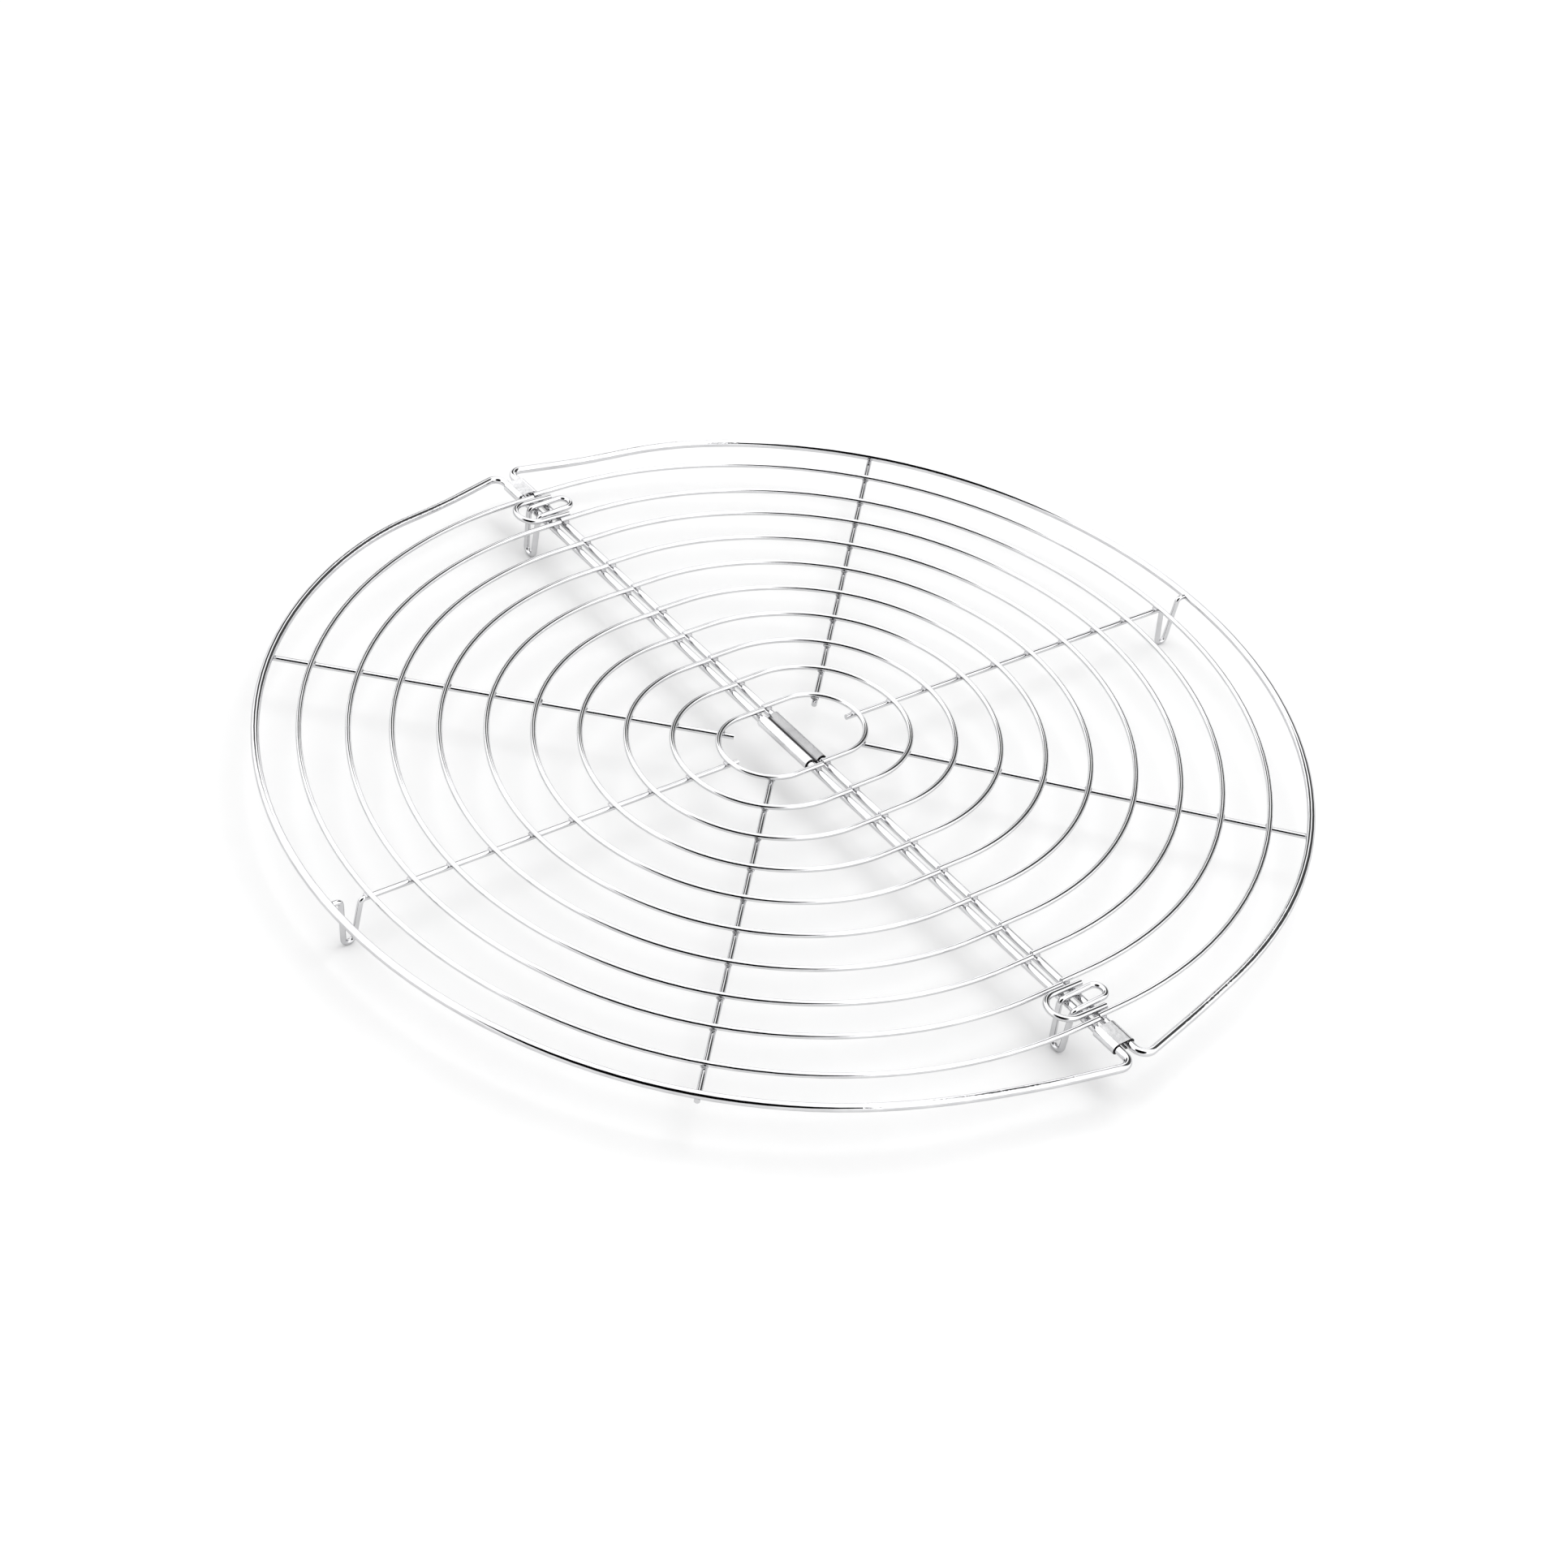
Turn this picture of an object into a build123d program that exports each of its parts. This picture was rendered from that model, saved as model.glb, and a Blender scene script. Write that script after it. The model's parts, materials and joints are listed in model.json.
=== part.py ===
from build123d import *
import math
import os

# Folding round cooling rack of welded bright wire: two D-shaped halves on sheet-metal hinge sleeves.
# Frame: X runs along the fold, +Y towards the back half, +Z up. The origin is on the standing
# surface, under the middle of the fold. Millimetres and degrees throughout.
# The two halves are the same part turned 180 degrees about Z, apart from their loops at the fold
# and the exact lie of their spokes.

# Driving dimensions
FRAME_WIRE = 2.5        # wire of the D-shaped frames
RING_WIRE = 1.7         # wire of the rings and spokes
LOOP_WIRE = 1.9         # wire of the loops and feet at the fold
SHEET = 0.5             # sleeve sheet
WELD = 0.08             # depth that welded wires sink into each other
BUTT_WELD = 0.12        # depth that a wire's end sinks into the wire it meets
RUNNING_GAP = 0.08      # radial play of a frame wire in a sleeve
STOP_GAP = 0.1          # play between a loop and the other half's wire

HINGE_OFFSET = 2.2      # hinge wire to the middle of the fold
HALF_SLIDE = 0.5        # each half stands this far to its own left along the fold, within its play
RING_HEIGHT = 17.0      # ring centre lines above the standing surface

FIRST_RING = 15.0       # radius of the innermost ring
RING_PITCH = 14.0
RING_COUNT = 10
RING_CENTRE = 10.0      # Y of the rings' common centre
OUTER_RING_CENTRE = 8.2 # Y of the outermost ring's centre
LOOP_BAY_INNER = 126.0  # radius of the ring inside the fold loops
LOOP_BAY_OUTER = 142.0  # radius of the ring outside the fold loops
RING_END_GAP = 0.35     # ring ends to the middle of the fold

RIM_RADIUS = 154.3
RIM_CENTRE = 8.7        # Y of the rim's centre
RIM_FLARE = 13.0        # angle at which the rim's round stretch runs out into straights
SINK_ANGLE = 28.0       # where the rim leaves its own height and starts down towards the fold
SINK_SHARE = 0.55       # share of each flared straight by whose end it is down
SINK_SLOPE = 0.08       # steepest slope on the way down, where the round stretch ends
CORNER_RADIUS = 3.5

# The spokes are laid by hand, so no two lie quite alike. Each angled spoke has its angle from the
# fold, the point on the Y axis that it aims at, and how far its inner end stands in from the
# innermost ring.
ANGLED_SPOKES = {
    "back_right_spoke": (43.2, 6.1, 0.6),
    "back_left_spoke": (134.5, 6.6, 3.0),
    "front_left_spoke": (46.5, 4.7, 4.0),
    "front_right_spoke": (134.7, 5.1, 2.0),
}
# Each foot spoke has the X of its inner end, its lean towards +X, and how far it stands in. Their
# feet are far enough apart along the fold to pass each other when the rack is folded.
FOOT_SPOKES = {
    "back_foot_spoke": (-0.75, 1.7, 3.2),
    "front_foot_spoke": (-0.85, 0.5, 3.6),
}
SPOKE_PAST_RIM = 0.5    # spoke ends beyond the rim's centre line

FOOT_LEG = 152.6        # inner leg of a spoke foot, at the top
FOOT_RETURN = 159.2     # outer leg, at the top
FOOT_TOE_START = 154.2
FOOT_TOE_END = 157.4
FOOT_BEND = 1.5
FOOT_TOE_BEND = 1.55

LOOP_MIDDLE = (LOOP_BAY_INNER + LOOP_BAY_OUTER) / 2
STOP_LOOP_HALF_WIDTH = 5.4
STOP_LOOP_BEND = -5.8   # Y where the stop loop's legs run into its bend
STOP_LOOP_ENDS = 5.0
FOLD_FOOT_HALF_WIDTH = 2.75
FOLD_FOOT_TOE_HALF_WIDTH = 2.1
FOLD_FOOT_TOE_BEND = 1.95
FOLD_FOOT_FAR_BEND = 8.6
FOLD_FOOT_FAR_RADIUS = 2.6
FOLD_FOOT_DROP = -5.1   # Y of the legs that go down to the floor
FOLD_FOOT_DROP_BEND = 1.8

CENTRE_SLEEVE_LENGTH = 24.0
END_SLEEVE_LENGTH = 8.4
END_SLEEVE_MIDDLE = 148.9
CREASE_RADIUS = 0.9     # bend of the centre sleeve's crease
SLEEVE_CURL = 145.0     # how far a sleeve's edge curls round under its wire, from the outside

# Heights that follow
FRAME_HEIGHT = RING_HEIGHT - (FRAME_WIRE + RING_WIRE) / 2 + WELD
SPOKE_HEIGHT = RING_HEIGHT - RING_WIRE + WELD
RIM_HEIGHT = SPOKE_HEIGHT + (FRAME_WIRE + RING_WIRE) / 2 - WELD
LOOP_HEIGHT = FRAME_HEIGHT + (FRAME_WIRE + LOOP_WIRE) / 2 - WELD
LOOP_SLOPE = (WELD + STOP_GAP) / (2 * HINGE_OFFSET)


def wire(path, diameter):
    """Round wire along a path."""
    section = Plane(origin=path @ 0, z_dir=path % 0) * Circle(diameter / 2)
    return sweep(section, path=path)


def front(shape):
    """A back-half shape turned round to the front half."""
    return Rot(0, 0, 180) * shape


def slid(shape):
    """A back-half shape moved to where its half stands along the fold."""
    return Pos(-HALF_SLIDE, 0, 0) * shape


def ring_radius(number):
    """Radius of a ring; the last two leave a wider bay for the loops at the fold."""
    if number == RING_COUNT:
        return LOOP_BAY_OUTER
    if number == RING_COUNT - 1:
        return LOOP_BAY_INNER
    return FIRST_RING + RING_PITCH * (number - 1)


def sinking(rim_point, rim_way, flare_start, flare_way, low_point, low_way):
    """Smooth way down from the level rim, past the start of the flared straight, to its low part."""
    upper = Spline(rim_point, flare_start, tangents=(rim_way, flare_way))
    lower = Spline(flare_start, low_point, tangents=(flare_way, low_way))
    return upper.edges() + lower.edges()


def frame():
    """Closed D: round rim on the spoke ends, straights that sink to the fold, and the hinge wire."""
    flare = math.radians(RIM_FLARE)
    flare_x = RIM_RADIUS * math.cos(flare)
    flare_y = RIM_CENTRE + RIM_RADIUS * math.sin(flare)
    straight = (flare_y - HINGE_OFFSET) / math.cos(flare)
    corner_x = flare_x + straight * math.sin(flare)
    low_x = flare_x + SINK_SHARE * straight * math.sin(flare)
    low_y = flare_y - SINK_SHARE * straight * math.cos(flare)
    halfway = (RIM_HEIGHT + FRAME_HEIGHT) / 2
    level_arc = CenterArc((0, RIM_CENTRE), RIM_RADIUS, SINK_ANGLE, 180 - 2 * SINK_ANGLE)
    rim = Pos(0, 0, RIM_HEIGHT) * level_arc
    hinge_side = Pos(0, 0, FRAME_HEIGHT) * FilletPolyline(
        (low_x, low_y),
        (corner_x, HINGE_OFFSET),
        (-corner_x, HINGE_OFFSET),
        (-low_x, low_y),
        radius=CORNER_RADIUS,
    )
    right_end = sinking(
        rim @ 0,
        -(rim % 0),
        Vector(flare_x, flare_y, halfway),
        Vector(math.sin(flare), -math.cos(flare), -SINK_SLOPE),
        hinge_side @ 0,
        hinge_side % 0,
    )
    left_end = sinking(
        rim @ 1,
        rim % 1,
        Vector(-flare_x, flare_y, halfway),
        Vector(-math.sin(flare), -math.cos(flare), -SINK_SLOPE),
        hinge_side @ 1,
        -(hinge_side % 1),
    )
    outline = Wire(rim.edges() + right_end + hinge_side.edges() + left_end)
    return slid(wire(outline, FRAME_WIRE))


def ring(number):
    """Half ring with straight legs that end on top of the hinge wire."""
    radius = ring_radius(number)
    centre_y = OUTER_RING_CENTRE if number == RING_COUNT else RING_CENTRE
    legs_and_arc = [
        Line((radius, RING_END_GAP), (radius, centre_y)),
        CenterArc((0, centre_y), radius, 0, 180),
        Line((-radius, centre_y), (-radius, RING_END_GAP)),
    ]
    return slid(wire(Pos(0, 0, RING_HEIGHT) * Wire(legs_and_arc), RING_WIRE))


def reach(angle, drop, radius):
    """Distance along an angle to a circle whose centre lies that far up the Y axis."""
    along = drop * math.sin(math.radians(angle))
    across = drop * math.cos(math.radians(angle))
    return along + math.sqrt(radius**2 - across**2)


def angled_spoke(name):
    """Straight spoke under the rings, from inside the innermost one to just past the rim."""
    angle, aim_y, stub = ANGLED_SPOKES[name]
    direction = Vector(math.cos(math.radians(angle)), math.sin(math.radians(angle)), 0)
    aim = Vector(0, aim_y, SPOKE_HEIGHT)
    inner = reach(angle, RING_CENTRE - aim_y, FIRST_RING) - stub
    outer = reach(angle, RIM_CENTRE - aim_y, RIM_RADIUS + SPOKE_PAST_RIM)
    return slid(wire(Line(aim + direction * inner, aim + direction * outer), RING_WIRE))


def foot_spoke(name):
    """Spoke square to the fold whose outer end makes a foot and hooks back on to the rim."""
    inner_x, lean, stub = FOOT_SPOKES[name]
    inner_y = RING_CENTRE + FIRST_RING - stub
    rim_y = RIM_CENTRE + RIM_RADIUS - FRAME_WIRE / 2 + BUTT_WELD
    toe_height = RING_WIRE / 2
    stretches = [
        (inner_y, SPOKE_HEIGHT),
        (FOOT_LEG, SPOKE_HEIGHT),
        (FOOT_TOE_START, toe_height),
        (FOOT_TOE_END, toe_height),
        (FOOT_RETURN, RIM_HEIGHT),
        (rim_y, RIM_HEIGHT),
    ]
    path = FilletPolyline(
        *[(0, y - inner_y, z) for y, z in stretches],
        radius=[FOOT_BEND, FOOT_TOE_BEND, FOOT_TOE_BEND, FOOT_BEND],
    )
    return wire(Pos(inner_x, inner_y, 0) * Rot(0, 0, -lean) * path, RING_WIRE)


def loop_height(distance):
    """Height of a fold loop, which rises a little from its own wire to clear the other one."""
    return LOOP_HEIGHT + LOOP_SLOPE * distance


def stop_loop(middle_x):
    """Open U on the back half's wire; its bend lies over the front half's wire as a stop."""
    left = middle_x - STOP_LOOP_HALF_WIDTH
    right = middle_x + STOP_LOOP_HALF_WIDTH
    ends = loop_height(HINGE_OFFSET - STOP_LOOP_ENDS)
    bend_y = STOP_LOOP_BEND - STOP_LOOP_HALF_WIDTH
    bend = loop_height(HINGE_OFFSET - bend_y)
    path = FilletPolyline(
        (left, STOP_LOOP_ENDS, ends),
        (left, bend_y, bend),
        (right, bend_y, bend),
        (right, STOP_LOOP_ENDS, ends),
        radius=STOP_LOOP_HALF_WIDTH - 0.05,
    )
    return wire(path, LOOP_WIRE)


def fold_foot(middle_x):
    """Closed loop on the front half's wire: a stop over the back wire, bent down to a foot."""
    far = loop_height(FOLD_FOOT_FAR_BEND + HINGE_OFFSET)
    drop = loop_height(FOLD_FOOT_DROP + HINGE_OFFSET)
    toe_height = LOOP_WIRE / 2
    path = FilletPolyline(
        (middle_x - FOLD_FOOT_HALF_WIDTH, FOLD_FOOT_DROP, drop),
        (middle_x - FOLD_FOOT_HALF_WIDTH, FOLD_FOOT_FAR_BEND, far),
        (middle_x + FOLD_FOOT_HALF_WIDTH, FOLD_FOOT_FAR_BEND, far),
        (middle_x + FOLD_FOOT_HALF_WIDTH, FOLD_FOOT_DROP, drop),
        (middle_x + FOLD_FOOT_TOE_HALF_WIDTH, FOLD_FOOT_DROP, toe_height),
        (middle_x - FOLD_FOOT_TOE_HALF_WIDTH, FOLD_FOOT_DROP, toe_height),
        radius=[
            FOLD_FOOT_DROP_BEND,
            FOLD_FOOT_FAR_RADIUS,
            FOLD_FOOT_FAR_RADIUS,
            FOLD_FOOT_DROP_BEND,
            FOLD_FOOT_TOE_BEND,
            FOLD_FOOT_TOE_BEND,
        ],
        close=True,
    )
    return wire(path, LOOP_WIRE)


def strip_arc(centre, radius, start, size):
    """Curved piece of a sleeve's section, one sheet thick, about its middle line."""
    outer = CenterArc(centre, radius + SHEET / 2, start, size)
    inner = CenterArc(centre, radius - SHEET / 2, start, size)
    return make_face([outer, Line(outer @ 1, inner @ 1), inner, Line(inner @ 0, outer @ 0)])


def sleeve(middle_x, length, section):
    """Sleeve of the given section round both hinge wires."""
    start = Plane.YZ.offset(middle_x - length / 2)
    return Pos(0, 0, FRAME_HEIGHT) * extrude(start * section, length)


def creased_section():
    """Two lobes joined by a crease between the wires, open along the underside."""
    lobe = (FRAME_WIRE + SHEET) / 2 + RUNNING_GAP
    crease_height = math.sqrt((lobe + CREASE_RADIUS) ** 2 - HINGE_OFFSET**2)
    tangent = math.degrees(math.atan2(crease_height, HINGE_OFFSET))
    crease = strip_arc((0, crease_height), CREASE_RADIUS, 180 + tangent, 180 - 2 * tangent)
    right = strip_arc((HINGE_OFFSET, 0), lobe, -SLEEVE_CURL, SLEEVE_CURL + 180 - tangent)
    return crease + right + mirror(right, Plane.YZ)


def flat_section():
    """Flat top that curls round both wires, open along the underside."""
    lobe = (FRAME_WIRE + SHEET) / 2 + RUNNING_GAP
    top = Pos(0, lobe) * Rectangle(2 * HINGE_OFFSET, SHEET)
    right = strip_arc((HINGE_OFFSET, 0), lobe, -SLEEVE_CURL, SLEEVE_CURL + 90)
    return top + right + mirror(right, Plane.YZ)


def nodes():
    """Every piece of the rack by its node name."""
    pieces = {
        "back_frame": frame(),
        "front_frame": front(frame()),
        "back_right_spoke": angled_spoke("back_right_spoke"),
        "back_left_spoke": angled_spoke("back_left_spoke"),
        "back_foot_spoke": foot_spoke("back_foot_spoke"),
        "front_left_spoke": front(angled_spoke("front_left_spoke")),
        "front_right_spoke": front(angled_spoke("front_right_spoke")),
        "front_foot_spoke": front(foot_spoke("front_foot_spoke")),
        "centre_hinge_sleeve": sleeve(0, CENTRE_SLEEVE_LENGTH, creased_section()),
    }
    for number in range(1, RING_COUNT + 1):
        pieces[f"back_ring_{number:02d}"] = ring(number)
        pieces[f"front_ring_{number:02d}"] = front(ring(number))
    for side, sign in (("left", -1), ("right", 1)):
        pieces[f"{side}_stop_loop"] = stop_loop(sign * LOOP_MIDDLE)
        pieces[f"{side}_fold_foot"] = fold_foot(sign * LOOP_MIDDLE)
        pieces[f"{side}_hinge_sleeve"] = sleeve(
            sign * END_SLEEVE_MIDDLE, END_SLEEVE_LENGTH, flat_section()
        )
    return pieces


os.makedirs("parts", exist_ok=True)
for node_name, piece in nodes().items():
    export_step(piece, f"parts/{node_name}.step")
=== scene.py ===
import json
import math
import random

import bmesh
import bpy
from mathutils import Matrix, Vector


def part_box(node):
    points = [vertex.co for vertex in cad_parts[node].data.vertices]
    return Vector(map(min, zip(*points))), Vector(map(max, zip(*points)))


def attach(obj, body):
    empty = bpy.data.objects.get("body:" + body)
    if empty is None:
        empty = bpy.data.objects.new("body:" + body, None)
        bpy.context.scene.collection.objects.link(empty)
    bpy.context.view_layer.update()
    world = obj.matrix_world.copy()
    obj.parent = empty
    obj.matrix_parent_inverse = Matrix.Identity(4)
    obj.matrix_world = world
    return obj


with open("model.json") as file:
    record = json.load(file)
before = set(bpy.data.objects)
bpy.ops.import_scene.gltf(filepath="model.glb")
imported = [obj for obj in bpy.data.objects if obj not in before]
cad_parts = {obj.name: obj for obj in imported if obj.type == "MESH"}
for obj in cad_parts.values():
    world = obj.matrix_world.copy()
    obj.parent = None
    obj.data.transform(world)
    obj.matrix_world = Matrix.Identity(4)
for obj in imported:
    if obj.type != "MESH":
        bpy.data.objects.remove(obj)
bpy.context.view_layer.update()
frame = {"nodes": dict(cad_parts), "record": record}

# Looks, studio and camera for the folding cooling rack. Metres, in the CAD's own frame.

MM = 0.001

# Camera: where it stands round the point it looks at, and how it is rolled about its own axis
CAMERA_AZIMUTH = 46.67
CAMERA_ELEVATION = 38.69
CAMERA_DISTANCE = 0.9535
CAMERA_ROLL = 9.62
CAMERA_AIM = Vector((0.01751, -0.0166, 0.017))
CAMERA_LENS = 73.32
CAMERA_SENSOR = 36
CAMERA_NEAR = 0.01
CAMERA_FAR = 50

# The fold
HINGE_OFFSET = 2.2 * MM    # each half's hinge wire from the middle of the fold
HINGE_HEIGHT = 14.98 * MM
SLEEVE_INSIDE = 1.36 * MM  # from a hinge wire's axis to just past the inner face of the sheet round it; nearer than this the sheet carries painted shade
SLEEVE_SHADE_FADE = 0.1 * MM     # depth over which the painted shade inside turns into the bright outside
CUT_EDGE_SHADE_WIDTH = 0.06 * MM     # width of the dark cut edge at a sleeve's outer end: partly the bare edge's own colour, partly painted shade of the open end
# width of the painted shade along the crease between the rolls; the back roll turns darker across the
# same width
CREASE_WIDTH = 0.6 * MM
# the middle sleeve, which alone gets a darker back roll and painted shade in its crease
MIDDLE_SLEEVE_NODE = "centre_hinge_sleeve"

RING_COUNT = 10            # rings on each half

# Weld nuggets, the small webs of metal squeezed out where two wires are welded
NUGGET_RADIUS = 1.22 * MM
NUGGET_LOBES = 0.16        # how far the web reaches into the four corners of a crossing
NUGGET_HALF_HEIGHT = 0.50 * MM
NUGGET_EDGE = 1.3          # how sharp the web's rim is
NUGGET_SIDES = 24
NUGGET_RINGS = 5
NUGGET_SPREAD = 0.14       # how much one nugget's size differs from the next
CROSSING_CORNERS = 4
SAME_POINT = 0.001 * MM    # points closer than this are merged
WIRE_END_REACH = 1.8 * MM  # a wire's end lies within this of its innermost point
SPINE_BAND = 0.05 * MM     # height within which points count as the top of a wire

# Plating
BLUE_CAST = 0.01
EDGE_TINT = (0.70, 0.70, 0.71)  # how much of the light the plating returns at a grazing angle
INSIDE_SHADE = 0.05        # painted shade: what is left of the brightness inside the sleeves and on their cut ends
CLOUD_SCALE = 90
CLOUD_STOPS = (0.32, 0.66)
GRAIN_SCALE = 2600
GRAIN_IN_WEAR = 0.5        # how much of the roughness follows the grain; the rest follows the clouds
BUMP_STRENGTH = 0.6
NOISE_RANGE = (0.3, 0.7)   # values that most of a noise lies between

# Studio light, as seen in the plating and as it falls on the floor
TENT_IN_PLATING = 1.75
GAPS_IN_PLATING = 0.0
TENT_ON_FLOOR = 1.0
TENT_IN_CAMERA = 1.0
# Dark openings in the tent: azimuth from the camera, elevation, then the angles within which each
# is fully dark and beyond which it ends, and how dark it is
DARK_OPENINGS = [
    (-9, 33, 31, 40, 1.0),
    (140, 32, 22, 30, 0.95),
    (-156, 26, 12, 19, 0.95),
]
SOFTBOX_PLACE = Vector((0.0, 0.5, 1.5))
SOFTBOX_SIZE = 0.9
SOFTBOX_ENERGY = 6

FLOOR_SIZE = 14
FLOOR_CELLS = 8
FLOOR_SHADE = 0.90
FLOOR_MOTTLE = 0.01
FLOOR_MOTTLE_SCALE = 30
FLOOR_ROUGHNESS = 0.9
FLOOR_SPECULAR = 0.1

# ---------------------------------------------------------------- node helpers

def link(tree, source, target):
    """Join two sockets of a node tree."""
    tree.links.new(source, target)


def feed(tree, socket, value):
    """Give a socket a number, or the value of another socket."""
    if isinstance(value, (int, float)):
        socket.default_value = value
    else:
        link(tree, value, socket)


def math_node(tree, operation, first, second=0):
    """Maths node; each input is a socket or a number."""
    node = tree.nodes.new("ShaderNodeMath")
    node.operation = operation
    feed(tree, node.inputs[0], first)
    feed(tree, node.inputs[1], second)
    return node.outputs[0]


def object_space(tree):
    """Position of the shaded point on the object, which moves with it."""
    return tree.nodes.new("ShaderNodeTexCoord").outputs["Object"]


def noise(tree, position, scale, detail, roughness=0.5):
    """Noise value over object space."""
    node = tree.nodes.new("ShaderNodeTexNoise")
    node.inputs["Scale"].default_value = scale
    node.inputs["Detail"].default_value = detail
    node.inputs["Roughness"].default_value = roughness
    link(tree, position, node.inputs["Vector"])
    return node.outputs["Fac"]


def stretch(tree, value, low, high):
    """Noise value mapped to low..high, clamped."""
    node = tree.nodes.new("ShaderNodeMapRange")
    node.inputs["From Min"].default_value = NOISE_RANGE[0]
    node.inputs["From Max"].default_value = NOISE_RANGE[1]
    node.inputs["To Min"].default_value = low
    node.inputs["To Max"].default_value = high
    link(tree, value, node.inputs["Value"])
    return node.outputs["Result"]


def between(tree, value, low, high):
    """0 where value is below low, 1 above high, rising smoothly from one to the other."""
    node = tree.nodes.new("ShaderNodeMapRange")
    node.interpolation_type = "SMOOTHSTEP"
    node.inputs["From Min"].default_value = low
    node.inputs["From Max"].default_value = high
    link(tree, value, node.inputs["Value"])
    return node.outputs["Result"]


def switch(tree, factor, first, second):
    """First number where factor is 0, second where it is 1; each is a socket or a number."""
    node = tree.nodes.new("ShaderNodeMix")
    node.data_type = "FLOAT"
    link(tree, factor, node.inputs["Factor"])
    feed(tree, node.inputs["A"], first)
    feed(tree, node.inputs["B"], second)
    return node.outputs["Result"]


def ramp(tree, value, stops):
    """Colour ramp through (position, colour) stops."""
    node = tree.nodes.new("ShaderNodeValToRGB")
    for element, (position, colour) in zip(node.color_ramp.elements, stops):
        element.position = position
        element.color = (*colour, 1)
    link(tree, value, node.inputs["Fac"])
    return node.outputs["Color"]


def scaled(tree, colour, factor):
    """Colour times a number from a socket."""
    node = tree.nodes.new("ShaderNodeVectorMath")
    node.operation = "SCALE"
    link(tree, colour, node.inputs[0])
    link(tree, factor, node.inputs["Scale"])
    return node.outputs["Vector"]


# ------------------------------------------------------------------- materials

def steel(shade):
    """Grey with a trace of blue."""
    return (shade, shade, shade + BLUE_CAST)


def plated(name, shades, roughness, ripple, ripple_scale, pits):
    """Bright plated steel: cloudy plating, drawing marks, soft ripple and fine pits.

    shades and roughness are each a (least, most) pair, ripple is how deep the waves are and pits is
    how strongly the fine grain shows beside them.
    """
    material = bpy.data.materials.new(name)
    material.use_nodes = True
    tree = material.node_tree
    shader = tree.nodes["Principled BSDF"]
    shader.inputs["Metallic"].default_value = 1.0
    shader.inputs["Specular Tint"].default_value = (*EDGE_TINT, 1)
    position = object_space(tree)

    cloud = noise(tree, position, CLOUD_SCALE, detail=4, roughness=0.6)
    grain = noise(tree, position, GRAIN_SCALE, detail=3, roughness=0.6)
    colour = ramp(tree, cloud, zip(CLOUD_STOPS, map(steel, shades)))
    link(tree, colour, shader.inputs["Base Color"])

    fine_wear = math_node(tree, "MULTIPLY", grain, GRAIN_IN_WEAR)
    broad_wear = math_node(tree, "MULTIPLY", cloud, 1 - GRAIN_IN_WEAR)
    wear = math_node(tree, "ADD", fine_wear, broad_wear)
    link(tree, stretch(tree, wear, *roughness), shader.inputs["Roughness"])

    waves = noise(tree, position, ripple_scale, detail=2, roughness=0.4)
    height = math_node(tree, "ADD", waves, math_node(tree, "MULTIPLY", grain, pits))
    bump = tree.nodes.new("ShaderNodeBump")
    bump.inputs["Distance"].default_value = ripple
    bump.inputs["Strength"].default_value = BUMP_STRENGTH
    link(tree, height, bump.inputs["Height"])
    link(tree, bump.outputs["Normal"], shader.inputs["Normal"])
    return material


def rolled_sheet(name, sleeve, back_shade, crease_shade, ripple):
    """Plated hinge sheet of a sleeve, with painted shade inside its rolls, and its cut outer ends dark
    both as bare edges and as painted shade.

    back_shade is what is left of the brightness on the roll round the back half's wire, which is darker,
    and crease_shade the same in the crease between the rolls, which is painted shade.
    """
    material = plated(
        name, shades=(0.60, 0.84), roughness=(0.12, 0.26), ripple=ripple, ripple_scale=700, pits=0.15
    )
    tree = material.node_tree
    shader = tree.nodes["Principled BSDF"]
    place = tree.nodes.new("ShaderNodeSeparateXYZ")
    link(tree, object_space(tree), place.inputs[0])

    along = math_node(tree, "ABSOLUTE", place.outputs["X"])
    sideways = math_node(tree, "ABSOLUTE", place.outputs["Y"])
    beside = math_node(tree, "SUBTRACT", sideways, HINGE_OFFSET)
    above = math_node(tree, "SUBTRACT", place.outputs["Z"], HINGE_HEIGHT)
    beside_squared = math_node(tree, "MULTIPLY", beside, beside)
    above_squared = math_node(tree, "MULTIPLY", above, above)
    from_wire = math_node(tree, "SQRT", math_node(tree, "ADD", beside_squared, above_squared))
    outer_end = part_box(sleeve)[1].x

    # painted shade: the sheet goes nearly black inside its rolls
    outside = between(tree, from_wire, SLEEVE_INSIDE, SLEEVE_INSIDE + SLEEVE_SHADE_FADE)
    # cut ends: bare edge colour and painted shade of the open end
    at_end = between(tree, along, outer_end - CUT_EDGE_SHADE_WIDTH, outer_end - CUT_EDGE_SHADE_WIDTH / 2)
    on_back = between(tree, place.outputs["Y"], 0, CREASE_WIDTH)
    # painted shade along the crease between the rolls
    off_crease = between(tree, sideways, CREASE_WIDTH / 2, CREASE_WIDTH)
    shade = switch(tree, outside, INSIDE_SHADE, 1.0)
    shade = math_node(tree, "MULTIPLY", shade, switch(tree, at_end, 1.0, INSIDE_SHADE))
    shade = math_node(tree, "MULTIPLY", shade, switch(tree, on_back, 1.0, back_shade))
    shade = math_node(tree, "MULTIPLY", shade, switch(tree, off_crease, crease_shade, 1.0))

    plating = shader.inputs["Base Color"].links[0].from_socket
    link(tree, scaled(tree, plating, shade), shader.inputs["Base Color"])
    return material


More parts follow.
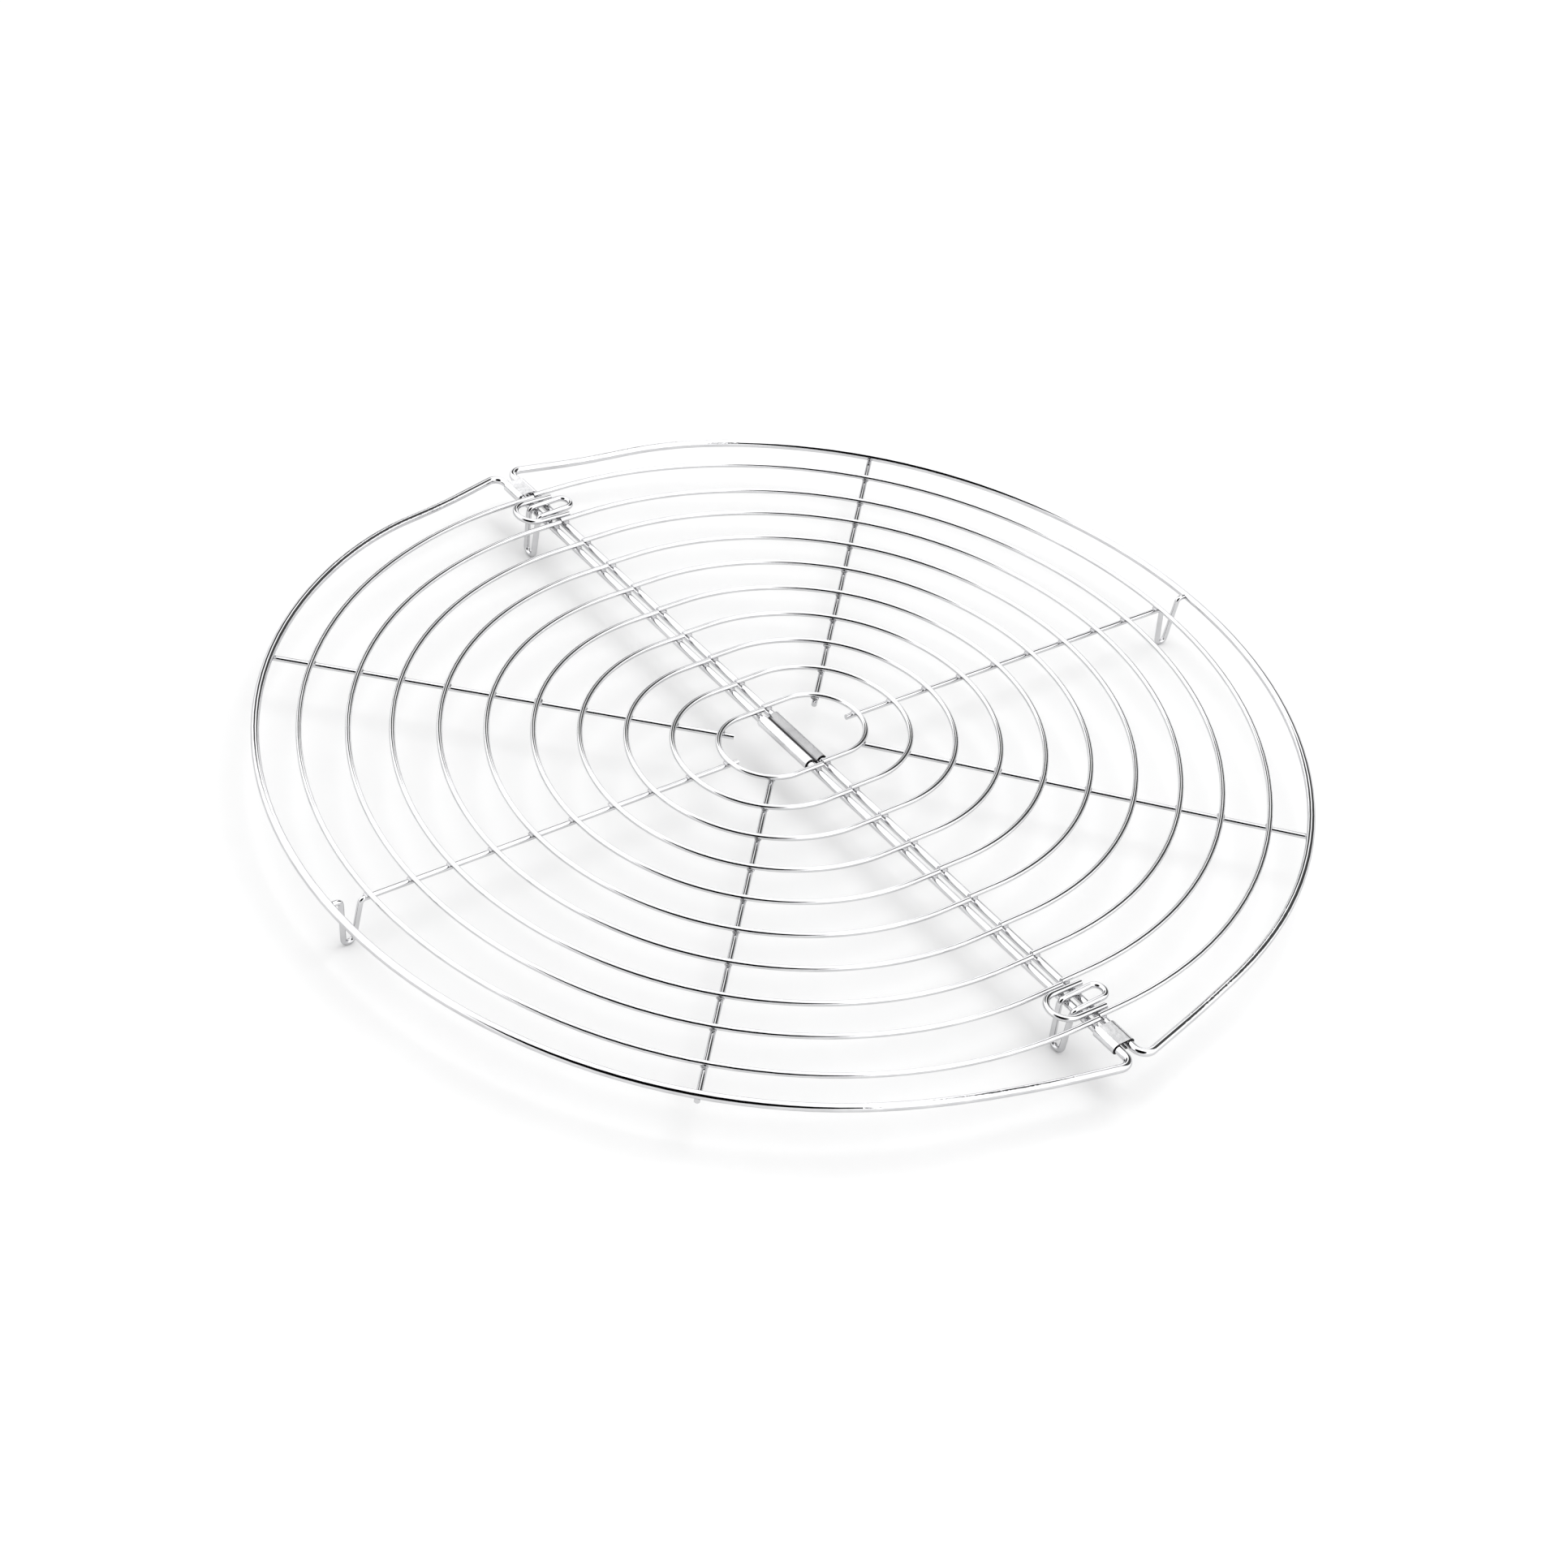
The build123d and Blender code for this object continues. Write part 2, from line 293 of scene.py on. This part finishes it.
def rack_materials():
    """A plated finish for each material slot, one for the middle sleeve with its darker back roll and
    painted shade in its crease, and a duller one for the welds.
    """
    return {
        "frame_wire": plated(
            "frame_wire_plating", shades=(0.60, 0.72), roughness=(0.02, 0.07),
            ripple=0.018 * MM, ripple_scale=420, pits=0.10,
        ),
        "ring_wire": plated(
            "ring_wire_plating", shades=(0.60, 0.72), roughness=(0.02, 0.07),
            ripple=0.015 * MM, ripple_scale=520, pits=0.10,
        ),
        "spoke_wire": plated(
            "spoke_wire_plating", shades=(0.56, 0.68), roughness=(0.02, 0.06),
            ripple=0.010 * MM, ripple_scale=520, pits=0.12,
        ),
        "fold_loop_wire": plated(
            "fold_loop_plating", shades=(0.56, 0.68), roughness=(0.02, 0.07),
            ripple=0.018 * MM, ripple_scale=480, pits=0.10,
        ),
        "hinge_sheet": rolled_sheet(
            "end_sleeve_plating", "right_hinge_sleeve",
            back_shade=1.0, crease_shade=1.0, ripple=0.03 * MM,
        ),
        # middle sleeve: darker back roll and painted shade in its crease
        "middle_sheet_with_painted_crease": rolled_sheet(
            "middle_sleeve_plating", MIDDLE_SLEEVE_NODE,
            back_shade=0.50, crease_shade=0.05, ripple=0.10 * MM,
        ),
        "weld": plated(
            "weld_plating", shades=(0.40, 0.60), roughness=(0.24, 0.42),
            ripple=0.12 * MM, ripple_scale=1500, pits=0.30,
        ),
    }


def paint_nodes(finishes):
    """Give every CAD node the finish of its material slot, and the middle sleeve its own."""
    for part in frame["record"]["subparts"]:
        node = frame["nodes"][part["node"]]
        finish = "middle_sheet_with_painted_crease" if part["node"] == MIDDLE_SLEEVE_NODE else part["material_slot"]
        node.data.materials.clear()
        node.data.materials.append(finishes[finish])


# ----------------------------------------------------------------------- welds

def circle_of(ring):
    """Centre (x, y), radius and underside height of a half ring's round stretch, from its box."""
    low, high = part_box(ring)
    wire = high.z - low.z
    radius = (high.x - low.x - wire) / 2
    middle_x = (low.x + high.x) / 2
    if high.y > -low.y:
        return Vector((middle_x, high.y - wire / 2 - radius)), radius, low.z
    return Vector((middle_x, low.y + wire / 2 + radius)), radius, low.z


def wire_line(node):
    """Two points on the centre line of a wire's long straight stretch, in plan."""
    points = [vertex.co.copy() for vertex in frame["nodes"][node].data.vertices]
    inner = min(points, key=lambda point: abs(point.y))
    near = [point for point in points if (point - inner).length < WIRE_END_REACH]
    top = max(point.z for point in near)
    spine = [point for point in points if abs(point.z - top) < SPINE_BAND]
    spine.sort(key=lambda point: abs(point.y))
    return spine[0].xy, spine[-1].xy


def crossing(start, end, centre, radius):
    """Where the line from start to end leaves a circle, in plan."""
    way = (end - start).normalized()
    offset = start - centre
    along = offset.dot(way)
    return start + way * (math.sqrt(along**2 - offset.length_squared + radius**2) - along)


def nugget(mesh, place, turn):
    """Add one lens-shaped web with four lobes to a mesh."""
    size = 1 + random.uniform(-NUGGET_SPREAD, NUGGET_SPREAD)
    height = NUGGET_HALF_HEIGHT * size
    rows = []
    for row in range(2 * NUGGET_RINGS + 1):
        tilt = math.pi * row / (2 * NUGGET_RINGS) - math.pi / 2
        level = []
        for side in range(NUGGET_SIDES):
            angle = math.tau * side / NUGGET_SIDES
            lobes = 1 - NUGGET_LOBES * math.cos(CROSSING_CORNERS * angle)
            reach = NUGGET_RADIUS * size * lobes * math.cos(tilt) ** NUGGET_EDGE
            level.append(mesh.verts.new((
                place.x + reach * math.cos(angle + turn),
                place.y + reach * math.sin(angle + turn),
                place.z + height * math.sin(tilt),
            )))
        rows.append(level)
    for lower, upper in zip(rows, rows[1:]):
        for side in range(NUGGET_SIDES):
            after = (side + 1) % NUGGET_SIDES
            mesh.faces.new((lower[side], lower[after], upper[after], upper[side]))


def weld_places(side):
    """Every (place, turn) on one half where a ring crosses a spoke or the hinge wire."""
    rings = [f"{side}_ring_{number:02d}" for number in range(1, RING_COUNT + 1)]
    spokes = [f"{side}_{lie}_spoke" for lie in ("left", "right", "foot")]
    hinge_y = HINGE_OFFSET if side == "back" else -HINGE_OFFSET
    places = []
    for ring in rings:
        centre, radius, contact = circle_of(ring)
        for spoke in spokes:
            start, end = wire_line(spoke)
            spot = crossing(start, end, centre, radius)
            way = end - start
            places.append((Vector((*spot, contact)), math.atan2(way.y, way.x)))
        for leg in (-radius, radius):
            places.append((Vector((centre.x + leg, hinge_y, contact)), 0.0))
    return places


def welds(side, finish):
    """One piece with all the weld nuggets of a half."""
    mesh = bmesh.new()
    for place, turn in weld_places(side):
        nugget(mesh, place, turn)
    bmesh.ops.remove_doubles(mesh, verts=mesh.verts, dist=SAME_POINT)
    bmesh.ops.recalc_face_normals(mesh, faces=mesh.faces)
    data = bpy.data.meshes.new(f"{side}_welds")
    mesh.to_mesh(data)
    mesh.free()
    for face in data.polygons:
        face.use_smooth = True
    data.materials.append(finish)
    piece = bpy.data.objects.new(f"{side}_welds", data)
    bpy.context.collection.objects.link(piece)
    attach(piece, f"{side}_half")


# ---------------------------------------------------------------------- studio

def from_angles(azimuth, elevation):
    """Unit vector: azimuth 0 is towards -Y and 90 towards +X, as for the camera."""
    around = math.radians(azimuth)
    upward = math.radians(elevation)
    level = math.cos(upward)
    return Vector((math.sin(around) * level, -math.cos(around) * level, math.sin(upward)))


def soft_disc(tree, direction, toward, inner, outer):
    """1 within `inner` degrees of a direction, falling smoothly to 0 at `outer` degrees."""
    dot = tree.nodes.new("ShaderNodeVectorMath")
    dot.operation = "DOT_PRODUCT"
    dot.inputs[1].default_value = toward
    link(tree, direction, dot.inputs[0])
    edge = math.cos(math.radians(outer))
    full = math.cos(math.radians(inner))
    return between(tree, dot.outputs["Value"], edge, full)


def studio_world():
    """White tent with dark openings, a wide one in front of the rack and two low ones behind it."""
    world = bpy.data.worlds.new("studio")
    bpy.context.scene.world = world
    world.use_nodes = True
    tree = world.node_tree
    tree.nodes.clear()
    direction = tree.nodes.new("ShaderNodeTexCoord").outputs["Generated"]
    gap = 0
    for azimuth, elevation, inner, outer, depth in DARK_OPENINGS:
        toward = from_angles(CAMERA_AZIMUTH + azimuth, elevation)
        disc = math_node(tree, "MULTIPLY", soft_disc(tree, direction, toward, inner, outer), depth)
        gap = math_node(tree, "MAXIMUM", gap, disc)
    in_plating = switch(tree, gap, TENT_IN_PLATING, GAPS_IN_PLATING)
    rays = tree.nodes.new("ShaderNodeLightPath").outputs
    strength = switch(tree, rays["Is Glossy Ray"], TENT_ON_FLOOR, in_plating)
    strength = switch(tree, rays["Is Camera Ray"], strength, TENT_IN_CAMERA)

    background = tree.nodes.new("ShaderNodeBackground")
    background.inputs["Color"].default_value = (1, 1, 1, 1)
    link(tree, strength, background.inputs["Strength"])
    output = tree.nodes.new("ShaderNodeOutputWorld")
    link(tree, background.outputs[0], output.inputs["Surface"])


def floor():
    """Wide pale floor with a barely visible mottle."""
    bpy.ops.mesh.primitive_grid_add(
        x_subdivisions=FLOOR_CELLS, y_subdivisions=FLOOR_CELLS, size=FLOOR_SIZE, location=(0, 0, 0)
    )
    sheet = bpy.context.object
    sheet.name = "studio_floor"
    material = bpy.data.materials.new("floor_paper")
    material.use_nodes = True
    tree = material.node_tree
    shader = tree.nodes["Principled BSDF"]
    mottle = noise(tree, object_space(tree), FLOOR_MOTTLE_SCALE, detail=3)
    dark = [FLOOR_SHADE - FLOOR_MOTTLE] * 3
    light = [FLOOR_SHADE + FLOOR_MOTTLE] * 3
    link(tree, ramp(tree, mottle, zip(NOISE_RANGE, (dark, light))), shader.inputs["Base Color"])
    shader.inputs["Roughness"].default_value = FLOOR_ROUGHNESS
    shader.inputs["Specular IOR Level"].default_value = FLOOR_SPECULAR
    sheet.data.materials.append(material)


def softbox():
    """Large soft light over the rack, kept out of its reflections."""
    light = bpy.data.lights.new("overhead_softbox", "AREA")
    light.shape = "DISK"
    light.size = SOFTBOX_SIZE
    light.energy = SOFTBOX_ENERGY
    lamp = bpy.data.objects.new("overhead_softbox", light)
    lamp.location = SOFTBOX_PLACE
    lamp.visible_glossy = False
    lamp.rotation_euler = (-SOFTBOX_PLACE).to_track_quat("-Z", "Y").to_euler()
    bpy.context.collection.objects.link(lamp)


def camera():
    """Camera at the photograph's viewing angle."""
    data = bpy.data.cameras.new("camera")
    data.lens = CAMERA_LENS
    data.sensor_width = CAMERA_SENSOR
    data.clip_start = CAMERA_NEAR
    data.clip_end = CAMERA_FAR
    seat = bpy.data.objects.new("camera", data)
    back = from_angles(CAMERA_AZIMUTH, CAMERA_ELEVATION)
    aim = (-back).to_track_quat("-Z", "Y")
    roll = Matrix.Rotation(math.radians(CAMERA_ROLL), 4, "Z")
    seat.matrix_world = (
        Matrix.Translation(CAMERA_AIM + back * CAMERA_DISTANCE) @ aim.to_matrix().to_4x4() @ roll
    )
    bpy.context.collection.objects.link(seat)
    bpy.context.scene.camera = seat


def picture():
    """Plain colour handling, bright as a catalogue picture."""
    settings = bpy.context.scene.view_settings
    settings.view_transform = "Standard"
    settings.look = "None"
    settings.exposure = 0.0


finishes = rack_materials()
paint_nodes(finishes)
studio_world()
floor()
softbox()
camera()
picture()
random.seed(7)
for half in ("front", "back"):
    welds(half, finishes["weld"])
